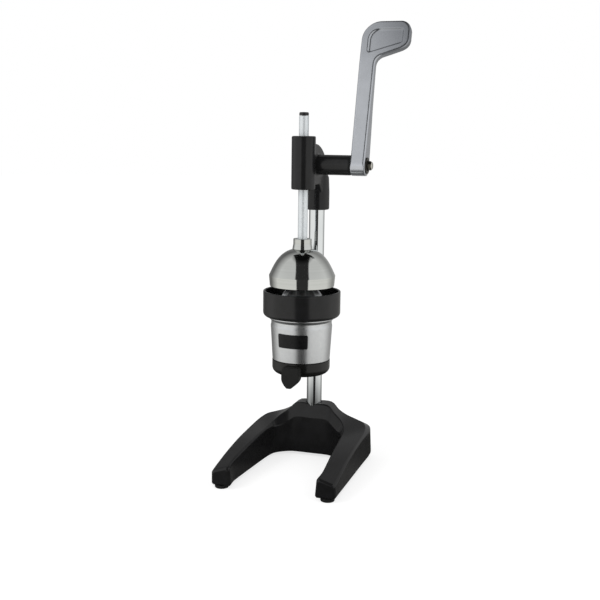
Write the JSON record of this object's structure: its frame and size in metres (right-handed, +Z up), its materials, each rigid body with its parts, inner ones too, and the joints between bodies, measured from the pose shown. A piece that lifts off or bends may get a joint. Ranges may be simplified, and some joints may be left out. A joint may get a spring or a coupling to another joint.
{
  "type": "lever citrus juice press",
  "caption": "Lever citrus press: a cranked handle drives a rack and dome down onto a ribbed reamer in a strainer cup with a spout.",
  "frame": {"origin": "on the surface the feet stand on, under the middle of the outer box at rest", "axes": "+Z up along the column and the ram, -Y the open front where the glass goes in, +X the side of the handle"},
  "size_m": [0.1924, 0.1892, 0.5617],
  "materials": {
    "black_paint": "semi-gloss black enamel on castings",
    "silver_paint": "satin silver-grey enamel on the cast handle",
    "chrome": "polished chrome plate",
    "stainless": "brushed stainless sheet",
    "steel": "plain machined and zinc-plated steel",
    "bronze": "sintered bronze",
    "aluminium": "tumbled die-cast aluminium",
    "black_plastic": "moulded black plastic",
    "rubber": "moulded rubber"
  },
  "bodies": {
    "frame": {"base_casting": "black_paint", "foot_pad_front_left": "rubber", "foot_pad_front_right": "rubber", "foot_pad_rear_left": "rubber", "foot_pad_rear_right": "rubber", "foot_screw_front_left": "steel", "foot_screw_front_right": "steel", "foot_screw_rear_left": "steel", "foot_screw_rear_right": "steel", "column": "chrome", "column_washer": "steel", "column_bolt": "steel", "head_casting": "black_paint", "rod_bush_upper": "bronze", "rod_bush_lower": "bronze", "head_set_screw_lower": "steel", "head_set_screw_upper": "steel", "ring_holder": "black_paint", "ring_set_screw_lower": "steel", "ring_set_screw_upper": "steel", "shaft_bush_right": "bronze", "shaft_bush_left": "bronze", "gear_cap": "black_paint", "cap_ring": "steel"},
    "handle": {"pinion_gear": "steel", "pinion_key": "steel", "pinion_shaft": "steel", "handle_arm": "silver_paint", "handle_washer": "steel", "handle_lock_washer": "steel", "handle_nut": "chrome"},
    "ram": {"ram_rod": "chrome", "rod_cap": "black_plastic", "dome": "stainless", "dome_collar": "stainless", "dome_washer": "steel", "dome_bolt": "steel"},
    "cup": {"cup": "stainless", "spout_tray": "black_plastic"},
    "strainer": {"strainer": "stainless", "reamer_cone": "aluminium", "reamer_screw": "steel"}
  },
  "joints": [
    {"name": "handle_turn", "type": "hinge", "parent": "frame", "child": "handle", "pos_m": [0, 0.03864, 0.3856], "axis": [1, 0, 0], "range_deg": [-170, 72]},
    {"name": "ram_slide", "type": "slide", "parent": "frame", "child": "ram", "axis": [0, 0, -1], "range_m": [-0.058, 0.0246]},
    {"name": "cup_turn", "type": "hinge", "parent": "frame", "child": "cup", "pos_m": [-0.01825, 0.01464, 0.17], "axis": [0, 0, 1], "range_deg": [-150, 150]},
    {"name": "strainer_turn", "type": "hinge", "parent": "cup", "child": "strainer", "pos_m": [-0.01825, 0.01464, 0.2], "axis": [0, 0, 1], "range_deg": [-150, 150]}
  ],
  "couplings": [
    {"joint": "ram_slide", "follows": "handle_turn", "m_per_rad": 0.0195}
  ]
}
